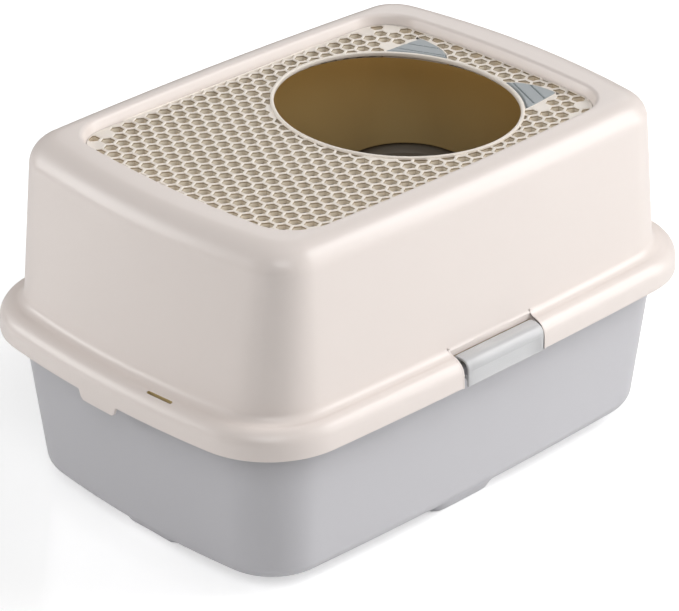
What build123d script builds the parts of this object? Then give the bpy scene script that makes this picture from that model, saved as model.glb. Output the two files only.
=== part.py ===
"""Top-entry cat litter box: grey pan, lift-off hood, honeycomb top, two side clips.

Millimetres. Z up, origin on the floor under the middle of the box. The long
side runs along Y and the short side with the finger tab faces -Y (the front).
"Right" is +X, seen by someone standing in front.
"""
import os
from math import atan2, cos, degrees, pi, sin, sqrt

from build123d import *

# ---------------------------------------------------------------- driving sizes
LENGTH = 530.0          # over the hood skirt, along Y
WIDTH = 372.0           # over the hood skirt, along X
HEIGHT = 305.0          # floor to the top of the hood
WALL = 2.5              # moulded wall of the hood
PAN_WALL = 2.8
GAP = 0.3               # between parts that lift or swing past each other

SIDE_BOW = 6.0          # how far a long side bulges at its middle
END_BOW = 16.0          # the same for a short side

# hood: skirt over the pan, flange, drafted wall, rounded top
SKIRT_Z = 142.0
FLANGE_Z = 166.0
SKIRT_CORNER = 75.0
FLANGE_ROUND = 13.0
FLANGE_INSET = 18.0     # from the skirt's face in to the foot of the wall
WALL_CORNER = 57.0
TOP_INSET_X = 5.9       # draft of the wall between flange and top
TOP_INSET_Y = 17.2
TOP_CORNER = 38.0
TOP_ROUND = 21.0
SPIGOT_Z = 158.0        # lower end of the wall, just above the pan's collar

# recess in the top that holds the grille
RECESS_X, RECESS_Y, RECESS_CORNER = 137.0, 189.5, 25.0
RECESS_SLOPE_IN = 3.0
RECESS_SLOPE_DOWN = 7.5
GRILLE_TOP = 297.0
GRILLE_BOTTOM = 289.9
LEDGE = 6.0

# honeycomb
CELL_PITCH = 12.92
CELL_RIB = 2.4
BORDER = 3.0

# entry
ENTRY_X, ENTRY_Y, ENTRY_CENTRE = 108.4, 95.4, 62.7
RIM_WALL = 2.2
RIM_ROLL = 1.0          # rolled top edge of the entry collar
RIM_TOP = 298.5

# right ear: the two ends of its base on the collar, and its tip
EAR_INNER, EAR_OUTER, EAR_TIP = Vector(31.5, 149.5), Vector(80.5, 127.5), Vector(79.0, 172.0)
EAR_BULGE, EAR_SIDE = Vector(51.5, 169.0), Vector(82.0, 150.0)
EAR_GROOVES = (13.6, 25.2)

# pan
PAN_FLOOR_Z = 10.4      # underside of the floor, held up by the feet
PAN_RIM_Z = 156.0
PAN_SHOULDER_Z = 144.0
PAN_TOP_X, PAN_TOP_Y = 167.5, 246.0
PAN_DRAFT = 12.8        # inset from shoulder to floor
PAN_EDGE = 14.0
FOOT_LONG, FOOT_DEEP = 42.0, 20.0

# side clips
CLIP_HALF = 43.5
NOTCH_HALF = 46.5
PIVOT_X, PIVOT_Z = 173.4, 162.2
BARREL_R = 3.2
PIN_R = 1.55
CLIP_FACE_X = 187.6
CLIP_WALL = 2.4
PIN_HALF = 49.0


# ---------------------------------------------------------------- outlines
def outline(x, y, corner, z, side_bow=SIDE_BOW, end_bow=END_BOW):
    """Rounded rectangle with bulging sides, half sizes x and y, at height z."""
    cx, cy = x - side_bow, y - end_bow
    edges = [
        ThreePointArc((cx, -cy), (x, 0), (cx, cy)),
        ThreePointArc((cx, cy), (0, y), (-cx, cy)),
        ThreePointArc((-cx, cy), (-x, 0), (-cx, -cy)),
        ThreePointArc((-cx, -cy), (0, -y), (cx, -cy)),
    ]
    face = Face(Wire(edges))
    face = face.fillet_2d(corner, face.vertices())
    return Pos(0, 0, z) * face


def between(low, high):
    """Straight-sided solid between two outlines."""
    return Solid(loft([low, high], ruled=True).wrapped)


def prism(face, height):
    return extrude(face, amount=height, dir=(0, 0, 1))


def ring(x, y, corner, thick, z0, z1):
    """Upright band along an outline, `thick` inwards, from z0 to z1."""
    outer = prism(outline(x, y, corner, z0), z1 - z0)
    inner = prism(outline(x - thick, y - thick, corner - thick, z0), z1 - z0)
    return outer - inner


def top_edges(solid, z):
    return [e for e in solid.edges()
            if abs(e.bounding_box().min.Z - z) < 0.01 and abs(e.bounding_box().max.Z - z) < 0.01]


# wall outline of the hood at any height, offset inwards by `inset`
def wall_outline(z, inset=0.0):
    t = (z - FLANGE_Z) / (HEIGHT - FLANGE_Z)
    x = WIDTH / 2 - FLANGE_INSET - TOP_INSET_X * t - inset
    y = LENGTH / 2 - FLANGE_INSET - 1.8 - TOP_INSET_Y * t - inset
    corner = WALL_CORNER + (TOP_CORNER - WALL_CORNER) * t - inset
    return outline(x, y, corner, z)


def pan_outline(z, inset=0.0):
    t = (PAN_SHOULDER_Z - z) / (PAN_SHOULDER_Z - PAN_FLOOR_Z)
    return outline(PAN_TOP_X - PAN_DRAFT * t - inset, PAN_TOP_Y - PAN_DRAFT * t - inset,
                   58 - 6 * t - inset, z, end_bow=12.0)


def stadium(long, deep, z):
    return Pos(0, 0, z) * fillet(Rectangle(2 * long, 2 * deep).vertices(), deep - 0.5)


# ---------------------------------------------------------------- pan
def make_pan():
    body = between(pan_outline(PAN_FLOOR_Z), pan_outline(PAN_SHOULDER_Z))
    body = fillet(top_edges(body, PAN_FLOOR_Z), PAN_EDGE)
    room_low = PAN_FLOOR_Z + PAN_WALL + 0.2
    room = between(pan_outline(room_low, PAN_WALL), pan_outline(PAN_SHOULDER_Z + 4, PAN_WALL))
    room = fillet(top_edges(room, room_low), PAN_EDGE - PAN_WALL)

    # shoulder, upright collar and turned-down lip the hood sits over
    collar_x, collar_y, collar_r = 173.0, 250.0, 61.0
    body += prism(outline(collar_x, collar_y, collar_r, PAN_SHOULDER_Z - 0.01), PAN_RIM_Z - PAN_SHOULDER_Z)
    lip_x, lip_y, lip_r = 181.3, 259.8, 70.0
    body += prism(outline(lip_x, lip_y, lip_r, PAN_RIM_Z - 2.5), 2.5)
    body += ring(lip_x, lip_y, lip_r, 2.2, PAN_RIM_Z - 6.5, PAN_RIM_Z)
    body -= prism(outline(collar_x - 2.5, collar_y - 2.5, collar_r - 2.5, PAN_SHOULDER_Z + 2.6), 20)

    # four feet moulded down under the middle of each side, hollow from inside
    places = [(Pos(0, -203), 0), (Pos(0, 203), 0), (Pos(127, 0), 90), (Pos(-127, 0), 90)]
    for place, turn in places:
        foot = between(stadium(FOOT_LONG - 5, FOOT_DEEP - 4, 0), stadium(FOOT_LONG + 2, FOOT_DEEP, PAN_FLOOR_Z + 6))
        foot = fillet(top_edges(foot, 0), 5)
        pocket = between(stadium(FOOT_LONG - 8, FOOT_DEEP - 7, PAN_WALL),
                         stadium(FOOT_LONG - 3, FOOT_DEEP - 4, PAN_FLOOR_Z + 6))
        body += place * Rot(0, 0, turn) * foot
        body -= place * Rot(0, 0, turn) * pocket
    body -= room
    return Solid(body.solids()[0].wrapped)


# ---------------------------------------------------------------- hood shell
def skirt_outline(z, inset=0.0):
    draft = 0.8 * (z - SKIRT_Z) / (FLANGE_Z - SKIRT_Z)
    return outline(WIDTH / 2 - draft - inset, LENGTH / 2 - draft - inset, SKIRT_CORNER - draft - inset, z)


def make_hood():
    wall = between(wall_outline(FLANGE_Z - 1), wall_outline(HEIGHT))
    wall = fillet(top_edges(wall, HEIGHT), TOP_ROUND)
    skirt = between(skirt_outline(SKIRT_Z), skirt_outline(FLANGE_Z))
    skirt = fillet(top_edges(skirt, FLANGE_Z), FLANGE_ROUND)
    hood = wall + skirt
    foot_edges = [e for e in top_edges(hood, FLANGE_Z)
                  if abs(e.center().X) < WIDTH / 2 - FLANGE_INSET + 0.5
                  and abs(e.center().Y) < LENGTH / 2 - FLANGE_INSET]
    hood = fillet(foot_edges, 7.0)

    # finger tab: the skirt's own curve carried down, cut to a trapezoid
    tab_x = -6.5
    tab = Polygon((tab_x - 23, 1), (tab_x - 18.5, -8.5), (tab_x + 18.5, -8.5), (tab_x + 23, 1), align=None)
    tab = fillet(tab.vertices().sort_by(Axis.Y)[:2], 2.0)
    tab = extrude(Plane.XZ * tab, amount=300)
    tab = Pos(0, 0, SKIRT_Z) * tab
    hood += tab & ring(WIDTH / 2, LENGTH / 2, SKIRT_CORNER, WALL, SKIRT_Z - 12, SKIRT_Z + 1)

    # hollow under the flange, leaving the wall's lower end as a spigot
    under = between(skirt_outline(SKIRT_Z - 0.01, WALL + 0.1), skirt_outline(FLANGE_Z - WALL - 0.1, WALL + 0.1))
    under = fillet(top_edges(under, FLANGE_Z - WALL - 0.1), FLANGE_ROUND - WALL)
    spigot = between(wall_outline(SPIGOT_Z), wall_outline(FLANGE_Z))
    hood -= under - spigot
    # a rib under the flange bears on the pan's lip
    hood += ring(174.5, 251.5, 63, 2.5, PAN_RIM_Z + GAP, FLANGE_Z - WALL)

    # webs that close the ends of both clip notches and carry the pins
    for side in (1, -1):
        for end in (1, -1):
            y = end * (NOTCH_HALF + 1.5)
            web = Pos(side * 177.5, y, 154) * Box(19, 3, 24)
            web -= Pos(side * 170, y, 147) * Box(24.4, 4, 21)
            web = web & skirt
            hood += web

    # room inside
    room = between(wall_outline(SPIGOT_Z - 5, WALL), wall_outline(HEIGHT - 2.8, WALL))
    room = fillet(top_edges(room, HEIGHT - 2.8), TOP_ROUND - WALL)
    hood -= room

    # recess: sloping wall, upright wall and the ledge the grille lies on
    inx, iny, inr = RECESS_X - RECESS_SLOPE_IN, RECESS_Y - RECESS_SLOPE_IN, RECESS_CORNER - 4
    slope_z = HEIGHT - RECESS_SLOPE_DOWN
    well = between(outline(inx + WALL, iny + WALL, inr + WALL, GRILLE_BOTTOM - 2.7, 5, 8),
                   outline(RECESS_X + WALL, RECESS_Y + WALL, RECESS_CORNER + WALL, HEIGHT - 0.5, 5, 8))
    hood += well
    hood -= between(outline(inx, iny, inr, slope_z, 5, 8),
                    outline(RECESS_X, RECESS_Y, RECESS_CORNER, HEIGHT + 0.01, 5, 8))
    hood -= prism(outline(inx, iny, inr, GRILLE_BOTTOM, 5, 8), slope_z - GRILLE_BOTTOM + 0.1)
    hood -= prism(outline(inx - LEDGE, iny - LEDGE, inr - LEDGE, GRILLE_BOTTOM - 6, 5, 8), 10)

    # clip notches and pin bores
    for side in (1, -1):
        hood -= Pos(side * (169 + 15), 0, 158) * Box(30, 2 * NOTCH_HALF, 36)
        hood -= Pos(side * PIVOT_X, 0, PIVOT_Z) * Rot(90, 0, 0) * Cylinder(PIN_R, 2 * PIN_HALF)

    # moulded slot near the front right of the flange
    hood -= Pos(57.5, -254.5, FLANGE_Z) * Rot(0, 0, 3.5) * Box(27, 2.6, 20)
    return Solid(max(hood.solids(), key=lambda s: s.volume).wrapped)


# ---------------------------------------------------------------- top grille
def entry_ellipse(grow, z):
    return Pos(0, ENTRY_CENTRE, z) * Ellipse(ENTRY_X + grow, ENTRY_Y + grow).face()


def ear_face(grow=0.0, z=0.0):
    """Right ear: base on the entry rim, two bulging sides, in the XY plane."""
    sides = [Line(EAR_OUTER, EAR_INNER),
             ThreePointArc(EAR_INNER, EAR_BULGE, EAR_TIP),
             ThreePointArc(EAR_TIP, EAR_SIDE, EAR_OUTER)]
    face = Face(Wire(sides))
    face = face.fillet_2d(4.0, [face.vertices().sort_by(Axis.Y)[-1]])
    if grow:
        face = offset(face, amount=grow)
    face = face - entry_ellipse(RIM_WALL + RIM_ROLL + 0.5 - grow, 0)
    return Pos(0, 0, z) * face


def by_an_ear(points, margin):
    """True if a point is in an ear's outline grown by the margin."""
    ear = [EAR_INNER, EAR_OUTER, EAR_SIDE, EAR_TIP, EAR_BULGE]
    for px, py in points:
        p = Vector(abs(px), py)
        sides = zip(ear, ear[1:] + ear[:1])
        if all((b - a).normalized().cross(p - a).Z > -margin for a, b in sides):
            return True
    return False


def make_grille():
    inx, iny, inr = RECESS_X - RECESS_SLOPE_IN - 0.3, RECESS_Y - RECESS_SLOPE_IN - 0.3, RECESS_CORNER - 4.3
    plate = outline(inx, iny, inr, 0, 5, 8)
    hole = entry_ellipse(RIM_WALL + 0.2, 0)
    right = ear_face(0.3)
    left = mirror(right, about=Plane.YZ)
    # cells are cut off by a border along the frame and the collar, and left out by the ears
    edge = RIM_WALL + 0.2 + BORDER
    window = outline(inx - BORDER, iny - BORDER, inr - BORDER, 0, 5, 8) - entry_ellipse(edge, 0)
    window = max(window.faces(), key=lambda f: f.area)

    def well_inside(px, py):
        in_frame = (abs(px) < inx - BORDER - 5.5 * (py / iny) ** 2 and abs(py) < iny - BORDER - 8.5 * (px / inx) ** 2
                    and not (abs(px) > inx - 30 and abs(py) > iny - 30))
        past_collar = (px / (ENTRY_X + edge)) ** 2 + ((py - ENTRY_CENTRE) / (ENTRY_Y + edge)) ** 2 > 1
        return in_frame and past_collar

    radius = (CELL_PITCH - CELL_RIB) / sqrt(3)
    cell = RegularPolygon(radius, 6, rotation=0).face()
    column = CELL_PITCH * sqrt(3) / 2
    openings = []
    for i in range(-13, 14):
        for j in range(-16, 17):
            x, y = i * column, (j + 0.5 * (i % 2)) * CELL_PITCH
            if abs(x) > inx or abs(y) > iny:
                continue
            corners = [(x + radius * cos(k * pi / 3), y + radius * sin(k * pi / 3)) for k in range(6)]
            if by_an_ear(corners, 2.0):
                continue
            here = Pos(x, y) * cell
            if all(well_inside(px, py) for px, py in corners):
                openings.append(here.outer_wire())
                continue
            cut = here & window
            openings += [f.outer_wire() for f in (cut.faces() if cut else []) if f.area > 14]
    face = max((plate - hole - right - left).faces(), key=lambda f: f.area)
    holed = Face(face.outer_wire(), [*face.inner_wires(), *openings])
    thickness = GRILLE_TOP - GRILLE_BOTTOM - 0.1
    solid = extrude(holed, amount=thickness, dir=(0, 0, 1)).solids()[0]
    return Pos(0, 0, GRILLE_BOTTOM + 0.1) * solid


def make_entry_rim():
    """Oval collar pushed into the grille, with a rolled top and a lower lip."""
    low = GRILLE_BOTTOM - 2.1
    tube = prism(entry_ellipse(RIM_WALL, low), RIM_TOP - low)
    tube += prism(entry_ellipse(RIM_WALL + RIM_ROLL, GRILLE_TOP + 0.1), RIM_TOP - GRILLE_TOP - 0.1)
    tube += prism(entry_ellipse(RIM_WALL + 1.4, low), 1.8)
    tube -= prism(entry_ellipse(0, low - 1), RIM_TOP - low + 2)
    tube = fillet(top_edges(tube, RIM_TOP), 0.7)
    return Solid(tube.solids()[0].wrapped)


def make_ear():
    ear = prism(ear_face(0, GRILLE_BOTTOM + 0.1), GRILLE_TOP - GRILLE_BOTTOM + 0.5)
    # two grooves parallel to the base
    along = (EAR_OUTER - EAR_INNER).normalized()
    up = Vector(-along.Y, along.X)
    middle = (EAR_OUTER + EAR_INNER) * 0.5
    for step in EAR_GROOVES:
        at = middle + up * step
        ear -= Pos(at.X, at.Y, GRILLE_TOP + 0.6) * Rot(0, 0, degrees(atan2(along.Y, along.X))) * Box(90, 1.3, 2.4)
    return Solid(max(ear.solids(), key=lambda s: s.volume).wrapped)


# ---------------------------------------------------------------- side clips
def make_clip():
    """Right clip: barrel on the pin, plate, rounded shoulder, face and hook."""
    top = PIVOT_Z + BARREL_R
    bend = 9.0
    face_in = CLIP_FACE_X - CLIP_WALL
    flat_end = CLIP_FACE_X - bend
    k = sqrt(0.5)
    outer_mid = (flat_end + bend * k, top - bend + bend * k)
    inner = bend - CLIP_WALL
    inner_mid = (flat_end + inner * k, top - bend + inner * k)
    low = SKIRT_Z + 0.2
    path = [
        Line((PIVOT_X, top), (flat_end, top)),
        ThreePointArc((flat_end, top), outer_mid, (CLIP_FACE_X, top - bend)),
        Line((CLIP_FACE_X, top - bend), (CLIP_FACE_X, low)),
        Line((CLIP_FACE_X, low), (face_in, low)),
        Line((face_in, low), (face_in, low + 5.5)),
        Line((face_in, low + 5.5), (face_in - 3.0, low + 7.0)),
        Line((face_in - 3.0, low + 7.0), (face_in - 3.0, low + 8.0)),
        Line((face_in - 3.0, low + 8.0), (face_in, low + 10.5)),
        Line((face_in, low + 10.5), (face_in, top - bend)),
        ThreePointArc((face_in, top - bend), inner_mid, (flat_end, top - CLIP_WALL)),
        Line((flat_end, top - CLIP_WALL), (PIVOT_X, top - CLIP_WALL)),
        Line((PIVOT_X, top - CLIP_WALL), (PIVOT_X, top)),
    ]
    profile = Plane.XZ * Face(Wire(path))
    clip = extrude(profile, amount=2 * CLIP_HALF, dir=(0, 1, 0))
    clip = Pos(0, -CLIP_HALF, 0) * clip
    axis = Pos(PIVOT_X, 0, PIVOT_Z) * Rot(90, 0, 0)
    clip += axis * Cylinder(BARREL_R, 2 * CLIP_HALF)
    # grip ribs on the face
    for n in range(14):
        z = low + 1.6 + n * 1.1
        clip -= Pos(CLIP_FACE_X, 0, z) * Box(0.5, 2 * CLIP_HALF - 8, 0.5)
    clip -= axis * Cylinder(PIN_R + 0.05, 3 * CLIP_HALF)
    return Solid(max(clip.solids(), key=lambda s: s.volume).wrapped)


def make_pin():
    return Pos(PIVOT_X, 0, PIVOT_Z) * Rot(90, 0, 0) * Cylinder(PIN_R, 2 * PIN_HALF)


def mirrored(shape):
    return mirror(shape, about=Plane.YZ)


def main():
    os.makedirs("parts", exist_ok=True)
    ear, clip, pin = make_ear(), make_clip(), make_pin()
    parts = {
        "pan": make_pan(),
        "hood_shell": make_hood(),
        "top_grille": make_grille(),
        "entry_rim": make_entry_rim(),
        "ear_right": ear,
        "ear_left": mirrored(ear),
        "clip_right": clip,
        "clip_left": mirrored(clip),
        "clip_pin_right": pin,
        "clip_pin_left": mirrored(pin),
    }
    for name, shape in parts.items():
        box = shape.bounding_box()
        print(f"{name:16s} valid={shape.is_valid} solids={len(shape.solids())} "
              f"x {box.min.X:8.2f} {box.max.X:8.2f}  y {box.min.Y:8.2f} {box.max.Y:8.2f}  z {box.min.Z:7.2f} {box.max.Z:7.2f}"
              f"  vol {shape.volume / 1000:8.1f} cm3")
        export_step(shape, f"parts/{name}.step")


main()
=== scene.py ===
"""Looks of the top-entry cat litter box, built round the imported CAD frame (Blender 4.5).

Every piece is worked out from the CAD boxes in the frame. Lengths below are in
millimetres and turned into metres where a mesh is made.
"""
from math import atan2, cos, hypot, pi, radians, sin, sqrt, tan

import bmesh
import bpy
from mathutils import Matrix, Vector
from mathutils.geometry import delaunay_2d_cdt


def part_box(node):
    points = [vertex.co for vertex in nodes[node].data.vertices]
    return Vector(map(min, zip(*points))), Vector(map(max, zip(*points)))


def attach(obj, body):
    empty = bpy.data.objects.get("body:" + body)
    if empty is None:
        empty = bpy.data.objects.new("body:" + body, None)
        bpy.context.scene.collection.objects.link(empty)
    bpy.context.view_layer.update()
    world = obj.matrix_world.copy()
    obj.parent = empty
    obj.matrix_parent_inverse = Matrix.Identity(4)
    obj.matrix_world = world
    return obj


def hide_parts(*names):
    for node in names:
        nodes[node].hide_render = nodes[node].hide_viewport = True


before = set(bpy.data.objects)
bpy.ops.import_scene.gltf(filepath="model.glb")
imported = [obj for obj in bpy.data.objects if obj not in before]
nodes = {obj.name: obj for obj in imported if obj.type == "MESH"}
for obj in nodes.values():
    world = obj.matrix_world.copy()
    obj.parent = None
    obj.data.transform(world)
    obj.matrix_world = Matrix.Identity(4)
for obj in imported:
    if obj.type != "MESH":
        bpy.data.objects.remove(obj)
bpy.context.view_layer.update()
MM = 0.001


def box_mm(node):
    low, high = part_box(node)
    return [v / MM for v in low], [v / MM for v in high]


# ------------------------------------------------------------ driving sizes
hood_low, hood_high = box_mm("hood_shell")
_, pan_high = box_mm("pan")
grille_low, grille_high = box_mm("top_grille")
rim_low, rim_high = box_mm("entry_rim")
clip_low, clip_high = box_mm("clip_right")
pin_low, pin_high = box_mm("clip_pin_right")

SKIRT_Y = hood_high[1]                  # half length over the skirt
SKIRT_X = SKIRT_Y - 79.0                # half width
TOP_Z = hood_high[2]
TAB_DROP = 8.5
SKIRT_Z = hood_low[2] + TAB_DROP
FLANGE_Z = SKIRT_Z + 24.0
WALL = 2.5
SIDE_BOW, END_BOW = 6.0, 16.0
SPIGOT_Z = 158.0

RIM_Z = pan_high[2]                     # top of the pan
PAN_SHOULDER_Z = RIM_Z - 12.0
PAN_FLOOR_Z = 10.4
PAN_TOP_X, PAN_TOP_Y = 167.5, 246.0
PAN_DRAFT = 12.8
PAN_WALL = 2.8

RECESS_X, RECESS_Y, RECESS_R = 137.0, 189.5, 40.0
RECESS_BOWS = (4.5, 9.0)
LEDGE_Z = grille_low[2] - 0.1           # the ledge under the grille
GRILLE_X, GRILLE_Y = grille_high[0], grille_high[1]

ENTRY_Y0 = (rim_low[1] + rim_high[1]) / 2
ENTRY_A, ENTRY_B = 108.4, 95.4          # half sizes inside the collar
COLLAR_T = 3.1                          # collar thickness over its rolled edge
EAR_GAP = 4.0                           # from the inside of the collar to the ears

PIVOT_X = (pin_low[0] + pin_high[0]) / 2
PIVOT_Z = (pin_low[2] + pin_high[2]) / 2
NOTCH_HALF = 46.5
CLIP_HALF = clip_high[1]

CELL = 12.92
RIB = 2.5


# ------------------------------------------------------------ mesh helpers
def make_object(name, verts, faces, materials, face_slots=None, smooth=40.0):
    mesh = bpy.data.meshes.new(name)
    mesh.from_pydata([(x * MM, y * MM, z * MM) for x, y, z in verts], [], faces)
    mesh.update()
    for material in materials:
        mesh.materials.append(material)
    if face_slots is not None:
        mesh.polygons.foreach_set("material_index", face_slots)
    obj = bpy.data.objects.new(name, mesh)
    bpy.context.scene.collection.objects.link(obj)
    bm = bmesh.new()
    bm.from_mesh(mesh)
    bmesh.ops.recalc_face_normals(bm, faces=bm.faces)
    bm.to_mesh(mesh)
    bm.free()
    set_smooth(mesh, smooth)
    return obj


def set_smooth(mesh, angle):
    mesh.polygons.foreach_set("use_smooth", [True] * len(mesh.polygons))
    mesh.set_sharp_from_angle(angle=radians(angle))


def arc(centre, radius, a0, a1, count):
    return [(centre[0] + radius * cos(a0 + (a1 - a0) * i / count),
             centre[1] + radius * sin(a0 + (a1 - a0) * i / count)) for i in range(count + 1)]


def outline(x, y, corner, side_bow=SIDE_BOW, end_bow=END_BOW, long_n=26, corner_n=22, short_n=44):
    """Points round a rounded rectangle with bulging sides, in matching order at any size."""
    cx, cy = x - side_bow, y - end_bow
    big_x = (cy * cy + side_bow * side_bow) / (2 * side_bow)
    big_y = (cx * cx + end_bow * end_bow) / (2 * end_bow)
    c1, c2 = (x - big_x, 0.0), (0.0, y - big_y)
    # corner centre: inside both side arcs by the corner radius
    r1, r2 = big_x - corner, big_y - corner
    d = hypot(c2[0] - c1[0], c2[1] - c1[1])
    along = (r1 * r1 - r2 * r2 + d * d) / (2 * d)
    off = sqrt(max(r1 * r1 - along * along, 0.0))
    ux, uy = (c2[0] - c1[0]) / d, (c2[1] - c1[1]) / d
    centre = max(((c1[0] + ux * along - uy * off * s, c1[1] + uy * along + ux * off * s) for s in (1, -1)),
                 key=lambda p: p[0] + p[1])
    t1 = atan2(centre[1] - c1[1], centre[0] - c1[0])
    t2 = atan2(centre[1] - c2[1], centre[0] - c2[0])
    quarter = arc(c1, big_x, 0, t1, long_n)[:-1] + arc(centre, corner, t1, t2, corner_n)
    quarter += arc(c2, big_y, t2, pi / 2, short_n)[1:]
    left = [(-px, py) for px, py in reversed(quarter[:-1])]
    back = [(-px, -py) for px, py in quarter[1:]]
    right = [(px, -py) for px, py in reversed(quarter[1:-1])]
    return quarter + left + back + right


def sweep(rings, closed=True, caps=False):
    """Quads between rings of equally many points."""
    n = len(rings[0])
    verts = [p for ring in rings for p in ring]
    faces = []
    count = len(rings)
    for k in range(count if closed else count - 1):
        a, b = k * n, ((k + 1) % count) * n
        for i in range(n):
            j = (i + 1) % n
            faces.append((a + i, a + j, b + j, b + i))
    if caps:
        faces.append(tuple(range(n)))
        faces.append(tuple(range((count - 1) * n, count * n)))
    return verts, faces


def add_mesh(verts, faces, more):
    """Appends another piece's corners and faces."""
    base = len(verts)
    verts += more[0]
    faces += [tuple(base + i for i in face) for face in more[1]]


def level(points, z):
    return [(x, y, z) for x, y in points]


def lerp(a, b, t):
    return a + (b - a) * t


def smoothstep(t):
    t = min(max(t, 0.0), 1.0)
    return t * t * (3 - 2 * t)


# ------------------------------------------------------------ materials
def new_material(name):
    material = bpy.data.materials.new(name)
    material.use_nodes = True
    tree = material.node_tree
    return material, tree, tree.nodes["Principled BSDF"]


def plastic(name, color, roughness, grain_depth=0.00002, tint=0.02):
    """Moulded plastic: slight colour drift, slightly uneven gloss and a fine grain."""
    material, tree, shader = new_material(name)
    n, link = tree.nodes, tree.links
    shader.inputs["IOR"].default_value = 1.46
    coords = n.new("ShaderNodeTexCoord")
    drift = n.new("ShaderNodeTexNoise")
    drift.inputs["Scale"].default_value = 7.0
    drift.inputs["Detail"].default_value = 3.0
    link.new(coords.outputs["Object"], drift.inputs["Vector"])
    ramp = n.new("ShaderNodeValToRGB")
    ramp.color_ramp.elements[0].position = 0.3
    ramp.color_ramp.elements[1].position = 0.7
    ramp.color_ramp.elements[0].color = (*[c * (1 - tint) for c in color], 1)
    ramp.color_ramp.elements[1].color = (*[min(c * (1 + tint), 1) for c in color], 1)
    link.new(drift.outputs["Fac"], ramp.inputs["Fac"])
    link.new(ramp.outputs["Color"], shader.inputs["Base Color"])
    gloss = n.new("ShaderNodeTexNoise")
    gloss.inputs["Scale"].default_value = 9.0
    gloss.inputs["Detail"].default_value = 1.0
    link.new(coords.outputs["Object"], gloss.inputs["Vector"])
    span = n.new("ShaderNodeMapRange")
    span.inputs["From Min"].default_value = 0.3
    span.inputs["From Max"].default_value = 0.7
    span.inputs["To Min"].default_value = roughness * 0.97
    span.inputs["To Max"].default_value = roughness * 1.03
    link.new(gloss.outputs["Fac"], span.inputs["Value"])
    link.new(span.outputs["Result"], shader.inputs["Roughness"])
    fine = n.new("ShaderNodeTexNoise")
    fine.inputs["Scale"].default_value = 900.0
    fine.inputs["Detail"].default_value = 2.0
    link.new(coords.outputs["Object"], fine.inputs["Vector"])
    bump = n.new("ShaderNodeBump")
    bump.inputs["Distance"].default_value = grain_depth
    bump.inputs["Strength"].default_value = 1.0
    link.new(fine.outputs["Fac"], bump.inputs["Height"])
    link.new(bump.outputs["Normal"], shader.inputs["Normal"])
    return material


def paint_glow_through_wall(material, color, low, high):
    """Painted glow: an emission that stands in for light coming through a thin wall, less of it lower down.
    """
    tree = material.node_tree
    shader = tree.nodes["Principled BSDF"]
    coords = tree.nodes.new("ShaderNodeTexCoord")
    split = tree.nodes.new("ShaderNodeSeparateXYZ")
    span = tree.nodes.new("ShaderNodeMapRange")
    span.inputs["From Min"].default_value = 0.17
    span.inputs["From Max"].default_value = 0.27
    span.inputs["To Min"].default_value = low
    span.inputs["To Max"].default_value = high
    tree.links.new(coords.outputs["Object"], split.inputs["Vector"])
    tree.links.new(split.outputs["Z"], span.inputs["Value"])
    tree.links.new(span.outputs["Result"], shader.inputs["Emission Strength"])
    shader.inputs["Emission Color"].default_value = (*color, 1)


CREAM = plastic("hood_cream", (0.83, 0.752, 0.708), 0.32, grain_depth=0.000002, tint=0.004)
# The hood's inside takes a darker gold-brown copy of the cream: painted shade for the dim inside of the
# moulding, which is the same cream plastic.
CREAM_IN_PAINTED_SHADE = plastic("hood_inside_painted_shade", (0.60, 0.46, 0.22), 0.42, grain_depth=0.00002, tint=0.03)
# painted glow on the hood's inside, brighter higher up
paint_glow_through_wall(CREAM_IN_PAINTED_SHADE, (1.0, 0.62, 0.21), 0.0, 0.12)
TOP_CREAM = plastic("grille_cream", (0.90, 0.83, 0.75), 0.34, grain_depth=0.000003, tint=0.006)
GREY = plastic("pan_grey", (0.565, 0.557, 0.58), 0.34, grain_depth=0.000002, tint=0.006)
# The pan's inside takes a dark brown-grey instead of the pan's grey: painted shade for the deep, dim tub.
GREY_IN_PAINTED_SHADE = plastic("pan_inside_painted_shade", (0.21, 0.19, 0.16), 0.5, grain_depth=0.00001, tint=0.01)
CLIP_GREY = plastic("clip_grey", (0.56, 0.56, 0.565), 0.30, grain_depth=0.00002, tint=0.012)
# The honeycomb's cell walls and floors take darker creams than its top: painted shade for the depth of the
# cells, on what is one plastic.
CELL_WALL_PAINTED_SHADE = plastic("cell_wall_painted_shade", (0.33, 0.26, 0.17), 0.45, grain_depth=0.000003, tint=0.01)
CELL_FLOOR_PAINTED_SHADE = plastic("cell_floor_painted_shade", (0.74, 0.66, 0.54), 0.45, grain_depth=0.000003, tint=0.01)
EAR_GREY = plastic("ear_blue_grey", (0.365, 0.395, 0.41), 0.34, grain_depth=0.000004, tint=0.01)
PIN_GREY = plastic("pin_grey", (0.36, 0.36, 0.37), 0.45, grain_depth=0.00002)


# ------------------------------------------------------------ hood shell
def wall_size(z, inset=0.0):
    t = (z - FLANGE_Z) / (TOP_Z - FLANGE_Z)
    return (SKIRT_X - 18.0 - 5.9 * t - inset, SKIRT_Y - 19.8 - 17.2 * t - inset, 57.0 - 19.0 * t - inset)


def skirt_size(z, inset=0.0):
    d = 0.8 * (z - SKIRT_Z) / (FLANGE_Z - SKIRT_Z) + inset
    return SKIRT_X - d, SKIRT_Y - d, 75.0 - d


def tab_depth(x):
    """How far the finger tab hangs below the skirt at x, a trapezoid with soft corners."""
    lx, rx = -29.5, 16.5
    up = smoothstep((x - lx) / 4.5) if x < -6.5 else smoothstep((rx - x) / 4.5)
    return TAB_DROP * up


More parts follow.
